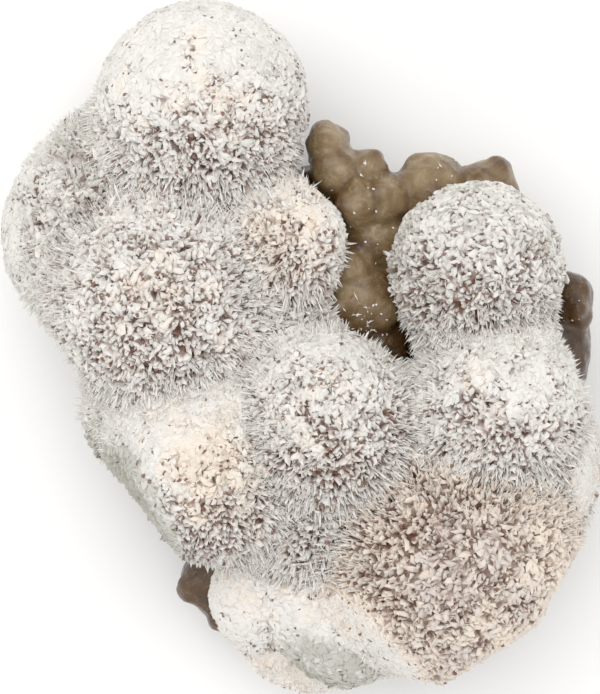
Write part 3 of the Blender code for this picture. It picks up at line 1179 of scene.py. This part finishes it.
def overgrow(envelope, settings, rng):
    """Long needles of a growth that come out through the face of its neighbours."""
    area = 4 * math.pi * envelope.radius**2
    ways = spread_directions(int(area * LONG_NEEDLES), rng, LONG_JITTER)
    ways = ways[ways[:, 2] > 0]
    if envelope.ball.worn > HALF_WORN:
        return []
    reach, height, clear, _ = envelope.solve(ways, 0.0, FREE)
    nearest = clear[1:].argmin(0) + 1
    names = [envelope.limits[number].ball for number in nearest]
    reaches = [
        0.0 if name == envelope.owner or BALLS[name].worn > HALF_WORN
        else OVERGROWN.get((envelope.owner, name), OVERGROWTH)
        for name in names
    ]
    limit = np.maximum(reaches, 1e-6)
    beyond = (clear[0] - clear[1:].min(0)) / 2
    chosen = (np.abs(height) < LONG_FACE) & (beyond > -LONG_BEFORE) & (beyond < limit)
    chosen &= rng.random(len(ways)) < 1 - beyond / limit
    count = int(chosen.sum())
    if not count:
        return []
    ways, reach = ways[chosen], reach[chosen]
    middles = np.array([limit.centre for limit in envelope.limits])[nearest[chosen]]
    tips = envelope.centre + ways * reach[:, None]
    away = LONG_AWAY * unit(tips - middles)
    lean = unit(ways + away + rng.normal(0, LONG_TURN, (count, 3)))
    tip = tips + lean * rng.uniform(*LONG_TIPS, count)[:, None]
    length = rng.uniform(*LONG_LENGTHS, count)
    return [
        pointed_needles(
            tip - lean * length[:, None],
            tip,
            *LONG.draw(count, settings, rng),
            LONG.root_clean_lit,
            CLEANEST_LIT,
            LONG_TINT + rng.normal(0, TINT_JITTER, count),
            rng,
        )
    ]


def face_tree(mesh):
    """A mesh's faces, for finding what is under or in front of a point."""
    shape = bmesh.new()
    shape.from_mesh(mesh)
    tree = BVHTree.FromBMesh(shape)
    shape.free()
    return tree


class SPECIMEN_OT_needle_balls(bpy.types.Operator):
    """Grow every mordenite ball from its felted inside and its tufts of needles"""

    bl_idname = "specimen.needle_balls"
    bl_label = "Needle balls"

    def execute(self, context):
        settings = context.scene.mordenite
        needle_finish = needle_material(settings)
        felt_finish = felt_material(settings)
        crust = face_tree(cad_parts[CRUST_NODE].data)
        limits = all_limits()
        for number, name in enumerate(BALLS):
            rng = np.random.default_rng(FIRST_BALL_SEED + number)
            needles = []
            cores = []
            for place, limit in enumerate(limits):
                if limit.ball != name:
                    continue
                envelope = Envelope(limits, place)
                shapes, pits = grow_tufts(envelope, settings, crust, rng)
                needles += shapes + overgrow(envelope, settings, rng)
                cores.append(felt_core(envelope, pits))
            pieces = (
                new_piece(name + "_needles", join_arrays(needles), needle_finish),
                new_felt(name + "_felt", cores, felt_finish),
            )
            for piece in pieces:
                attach(piece, BODY)
                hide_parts(name)
        return {"FINISHED"}


def stilbite_shape():
    """The crust's solid and its crystal groups, all in one skin."""
    shape = bmesh.new()
    shape.from_mesh(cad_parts[CRUST_NODE].data)
    bmesh.ops.remove_doubles(shape, verts=shape.verts[:], dist=1e-6)
    rng = np.random.default_rng(LOBE_SEED)
    round_lobe = bpy.data.meshes.new("lobe")
    lobe = bmesh.new()
    bmesh.ops.create_icosphere(lobe, subdivisions=4, radius=1.0)
    lobe.to_mesh(round_lobe)
    lobe.free()
    for knob in KNOBS:
        centre = np.array(knob.centre) + MODEL_SHIFT
        half_size = np.array(knob.half_size)
        lobes = [(centre, half_size)]
        for way in spread_directions(LOBES, rng, 0.3):
            size = half_size * rng.uniform(*LOBE_SIZES)
            lobes.append((centre + way * half_size * rng.uniform(*LOBE_PLACES), size))
        for place, size in lobes:
            one = round_lobe.copy()
            one.transform(Matrix.LocRotScale(Vector(place) * MM, None, Vector(size) * MM))
            shape.from_mesh(one)
            bpy.data.meshes.remove(one)
    bpy.data.meshes.remove(round_lobe)
    return shape


def shape_crust(mesh):
    """Gives the crust's skin its swells, and paints shade on it in the hollows between the knobs,
    low down and near the knobs that are given shade.
    """
    count = len(mesh.vertices)
    places = np.empty(count * 3, np.float32)
    normals = np.empty(count * 3, np.float32)
    mesh.vertices.foreach_get("co", places)
    mesh.vertex_normals.foreach_get("vector", normals)
    places = places.reshape(-1, 3) / MM
    normals = normals.reshape(-1, 3)
    broken = 1 - rising(places[:, 2], *BROKEN_EDGE)
    skin = swells_at(SKIN_SWELLS, places) + broken * swells_at(BROKEN_SWELLS, places)
    skin *= rising(places[:, 2], 0, FLAT_HEIGHT)
    places = places + normals * skin[:, None]
    mesh.vertices.foreach_set("co", (places * MM).astype(np.float32).ravel())
    clear = np.full(count, np.inf)
    shade = np.zeros(count)
    for knob in KNOBS:
        offset = (places - (np.array(knob.centre) + MODEL_SHIFT)) / knob.half_size
        away = np.linalg.norm(offset, axis=1) - 1
        clear = np.minimum(clear, away * min(knob.half_size))
        shade = np.maximum(shade, knob.shade * (away < SHADE_REACH))
    # Painted shade in the hollows, low down and near the shaded groups.
    low = 1 - rising(places[:, 2], *LOW_SHADE_EDGE)
    painted_hollow_shade = np.maximum(np.maximum(rising(clear, *HOLLOW_SHADE_EDGE), low), shade)
    paint_state(mesh, CRUST_STATE, painted_hollow_shade[:, None])
    mesh.update()


class SPECIMEN_OT_stilbite_crust(bpy.types.Operator):
    """Model the stilbite crust, with its rounded crystal groups"""

    bl_idname = "specimen.stilbite_crust"
    bl_label = "Stilbite crust"

    def execute(self, context):
        settings = context.scene.stilbite
        mesh = bpy.data.meshes.new(CRUST_PIECE)
        shape = stilbite_shape()
        shape.to_mesh(mesh)
        shape.free()
        piece = link_piece(CRUST_PIECE, mesh)
        remesh = piece.modifiers.new("one_skin", "REMESH")
        remesh.mode = "VOXEL"
        remesh.voxel_size = settings.cell * MM
        rounded = piece.modifiers.new("rounded", "SMOOTH")
        rounded.factor = 0.5
        rounded.iterations = ROUNDINGS
        thinned = piece.modifiers.new("thinned", "DECIMATE")
        thinned.ratio = KEPT_FACES
        graph = context.evaluated_depsgraph_get()
        skin = bpy.data.meshes.new_from_object(piece.evaluated_get(graph))
        piece.modifiers.clear()
        piece.data = skin
        skin.name = CRUST_PIECE
        shape_crust(skin)
        skin.shade_smooth()
        skin.materials.clear()
        skin.materials.append(stilbite_material(settings))
        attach(piece, BODY)
        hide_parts(CRUST_NODE)
        return {"FINISHED"}


class Litter(NamedTuple):
    """A part of the crust with broken needles on it: its middle, from above, and its reach."""

    middle: tuple
    reach: float
    count: int


LITTER = [
    Litter((10.7, 4.9), 5.0, 34),
    Litter((8.5, 22.0), 8.0, 18),
    Litter((46.5, 3.5), 6.0, 16),
    Litter((27.0, 29.0), 6.0, 8),
]
# The litter is dropped onto the crust from this height. This share of it lies as short needles
# of this width, which reach this far to each side, and the rest is grains. It is clean and
# white.
DROPPED_FROM = 80.0
LYING_SHARE = 0.3
SPLINTER_WIDTH = 0.2
LOOSE_CLEAN = 0.97
LOOSE_TINT = 0.33
GRAIN_RADII = (0.08, 0.24)
SPLINTER_REACHES = (0.3, 0.9)
# Bundles that stand out over the recess, each from a root in a ball to its tip. The needles of
# a bundle spread a little and are not of one length.
STRAYS = [
    ((19.0, 13.5, 34.0), (13.6, 16.2, 36.0)),
    ((19.0, 10.0, 33.0), (13.4, 9.3, 31.5)),
    ((18.5, 6.5, 31.0), (15.2, 4.2, 31.0)),
    ((0.5, 3.5, 33.0), (5.6, 6.2, 34.0)),
    ((2.5, 14.5, 36.0), (7.2, 16.8, 35.5)),
    ((-1.0, 24.5, 33.0), (3.6, 28.0, 32.5)),
]


STRAY_NEEDLES = 6
STRAY_SPREAD = 0.3
STRAY_LENGTHS = (0.75, 1.0)


def stray_bundles(settings, rng):
    """The needles of the stray bundles, not quite side by side."""
    ends = np.repeat(np.array(STRAYS) + MODEL_SHIFT, STRAY_NEEDLES, 0)
    count = len(ends)
    tips = ends[:, 1] + rng.normal(0, STRAY_SPREAD, (count, 3))
    tips = ends[:, 0] + (tips - ends[:, 0]) * rng.uniform(*STRAY_LENGTHS, (count, 1))
    return pointed_needles(
        ends[:, 0], tips, *STRAY.draw(count, settings, rng), STRAY.root_clean_lit, LOOSE_CLEAN,
        0.3 + rng.normal(0, 0.03, count), rng,
    )


def litter_on(tree, limits, rng):
    """Grains and short lying needles on the crust, wherever no ball covers them."""
    spots, ups = [], []
    for litter in LITTER:
        for offset in rng.normal(0, 0.5 * litter.reach, (litter.count, 2)):
            above = Vector((*(np.array(litter.middle) + offset), DROPPED_FROM)) * MM
            place, up, _, _ = tree.ray_cast(above, Vector((0, 0, -1)))
            if place is not None:
                spots.append(np.array(place) / MM)
                ups.append(np.array(up))
    spots, ups = np.array(spots), np.array(ups)
    free = np.min([limit.clear_of(spots) for limit in limits], 0) > 0.2
    spots, ups = spots[free], ups[free]
    count = len(spots)
    grains = tuft_domes(
        spots + ups * 0.12, ups, rng.uniform(*GRAIN_RADII, count), 0.06, 0.3,
        (0.8, 0.9, LOOSE_CLEAN), LOOSE_TINT, rng,
    )
    lying = rng.random(count) < LYING_SHARE
    along = unit(np.cross(ups, rng.normal(size=(count, 3))))[lying]
    reach = rng.uniform(*SPLINTER_REACHES, int(lying.sum()))[:, None]
    middle = (spots + ups * 0.15)[lying]
    total = len(middle)
    splinters = pointed_needles(
        middle - along * reach, middle + along * reach, np.full(total, SPLINTER_WIDTH),
        rng.uniform(0.3, 0.7, total), 0.9, LOOSE_CLEAN, LOOSE_TINT, rng,
    )
    return [grains, splinters]


class SPECIMEN_OT_loose_needles(bpy.types.Operator):
    """Add the stray bundles and the broken needles that lie on the stilbite"""

    bl_idname = "specimen.loose_needles"
    bl_label = "Loose needles"

    def execute(self, context):
        settings = context.scene.mordenite
        rng = np.random.default_rng(LITTER_SEED)
        tree = face_tree(bpy.data.objects[CRUST_PIECE].data)
        shapes = [stray_bundles(settings, rng)] + litter_on(tree, all_limits(), rng)
        finish = bpy.data.materials["mordenite_needles"]
        piece = new_piece("mordenite_loose_needles", join_arrays(shapes), finish)
        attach(piece, BODY)
        return {"FINISHED"}


# The stage, in metres: the floor's half side, the key light's place, target and size, and the
# camera's lens, in millimetres, and its near limit.
FLOOR_REACH = 4.0
KEY_PLACE = (-0.08, 0.19, 0.68)
KEY_TARGET = (0, 0, 0.02)
KEY_SIZE = 0.70
LENS = 137.3
NEAR_LIMIT = 0.01
# A little more contrast than plain.
GAMMA = 1.12


def area_light(name, place, target, size, power, colour):
    """A round soft light that shines from place towards target."""
    light = bpy.data.lights.new(name, "AREA")
    light.shape = "DISK"
    light.size = size
    light.energy = power
    light.color = linear(colour)[:3]
    lamp = bpy.data.objects.new(name, light)
    lamp.location = place
    lamp.rotation_euler = (Vector(target) - Vector(place)).to_track_quat("-Z", "Y").to_euler()
    bpy.context.scene.collection.objects.link(lamp)


class SPECIMEN_OT_stage(bpy.types.Operator):
    """Set up the floor, the studio light and the camera over the specimen"""

    bl_idname = "specimen.stage"
    bl_label = "Stage"

    def execute(self, context):
        settings = context.scene.stage
        scene = context.scene
        floor_mesh = bpy.data.meshes.new("floor")
        plane = bmesh.new()
        bmesh.ops.create_grid(plane, x_segments=1, y_segments=1, size=FLOOR_REACH)
        plane.to_mesh(floor_mesh)
        plane.free()
        material = new_material("pale_floor_board", Roughness=0.9, Base_Color=linear("#f9f9f8"))[0]
        floor_mesh.materials.append(material)
        floor = link_piece("floor", floor_mesh)

        world = bpy.data.worlds.new("studio")
        world.use_nodes = True
        back = world.node_tree.nodes["Background"]
        back.inputs["Color"].default_value = linear("#fbfbfc")
        back.inputs["Strength"].default_value = settings.fill
        scene.world = world
        area_light("key", KEY_PLACE, KEY_TARGET, KEY_SIZE, settings.key_power, "#fffdf8")

        lens = bpy.data.cameras.new("camera")
        lens.lens = LENS
        lens.clip_start = NEAR_LIMIT
        camera = bpy.data.objects.new("camera", lens)
        camera.location = (MODEL_SHIFT[0] * MM, MODEL_SHIFT[1] * MM, settings.camera_height)
        scene.collection.objects.link(camera)
        scene.camera = camera
        scene.view_settings.view_transform = "Standard"
        scene.view_settings.gamma = GAMMA
        return {"FINISHED"}


class SPECIMEN_PT_panel(bpy.types.Panel):
    """Lists the specimen's operators and their settings"""

    bl_idname = "SPECIMEN_PT_panel"
    bl_label = "Specimen"
    bl_space_type = "VIEW_3D"
    bl_region_type = "UI"
    bl_category = "Specimen"

    def draw(self, context):
        for group in (context.scene.mordenite, context.scene.stilbite, context.scene.stage):
            box = self.layout.box()
            for setting in group.__annotations__:
                box.prop(group, setting)
        for operator in OPERATORS:
            self.layout.operator(operator.bl_idname)


OPERATORS = (
    SPECIMEN_OT_stilbite_crust,
    SPECIMEN_OT_needle_balls,
    SPECIMEN_OT_loose_needles,
    SPECIMEN_OT_stage,
)
GROUPS = {
    "mordenite": SPECIMEN_PG_mordenite,
    "stilbite": SPECIMEN_PG_stilbite,
    "stage": SPECIMEN_PG_stage,
}


def register():
    for cls in (*GROUPS.values(), *OPERATORS, SPECIMEN_PT_panel):
        bpy.utils.register_class(cls)
    for name, group in GROUPS.items():
        setattr(bpy.types.Scene, name, PointerProperty(type=group))


def unregister():
    for name in GROUPS:
        delattr(bpy.types.Scene, name)
    for cls in (SPECIMEN_PT_panel, *OPERATORS, *GROUPS.values()):
        bpy.utils.unregister_class(cls)


def main():
    register()
    bpy.ops.specimen.stilbite_crust()
    bpy.ops.specimen.needle_balls()
    bpy.ops.specimen.loose_needles()
    bpy.ops.specimen.stage()


if __name__ == "__main__":
    main()
